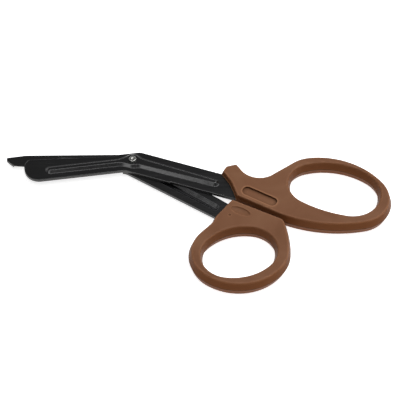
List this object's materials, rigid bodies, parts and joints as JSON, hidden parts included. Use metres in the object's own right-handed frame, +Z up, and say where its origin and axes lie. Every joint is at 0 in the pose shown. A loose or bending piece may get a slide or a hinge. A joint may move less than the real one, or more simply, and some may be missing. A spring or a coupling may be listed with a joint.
{
  "type": "bandage scissors",
  "caption": "Angled bandage scissors: round-ended upper blade, blunt beaked lower blade with a toothed edge, pressed ribs, a pivot rivet and moulded loop handles.",
  "frame": {"origin": "on the pivot axis, at the underside of the rivet head, which is the table level", "axes": "+X from the pivot to the handles, +Y to the finger side, +Z up from the table along the pivot axis"},
  "size_m": [0.1909, 0.0851, 0.0085],
  "materials": {
    "blade_coating": "black non-stick coating on stamped stainless steel, satin",
    "handle_plastic": "coyote brown moulded plastic, fine matte grain",
    "rivet_steel": "bright turned steel"
  },
  "bodies": {
    "finger_half": {"upper_blade": "blade_coating", "finger_handle": "handle_plastic", "pivot_rivet": "rivet_steel"},
    "thumb_half": {"lower_blade": "blade_coating", "thumb_handle": "handle_plastic"}
  },
  "joints": [
    {"name": "pivot", "type": "hinge", "parent": "finger_half", "child": "thumb_half", "pos_m": [0, 0, 0], "axis": [0, 0, -1], "range_deg": [-0.7, 60]}
  ]
}
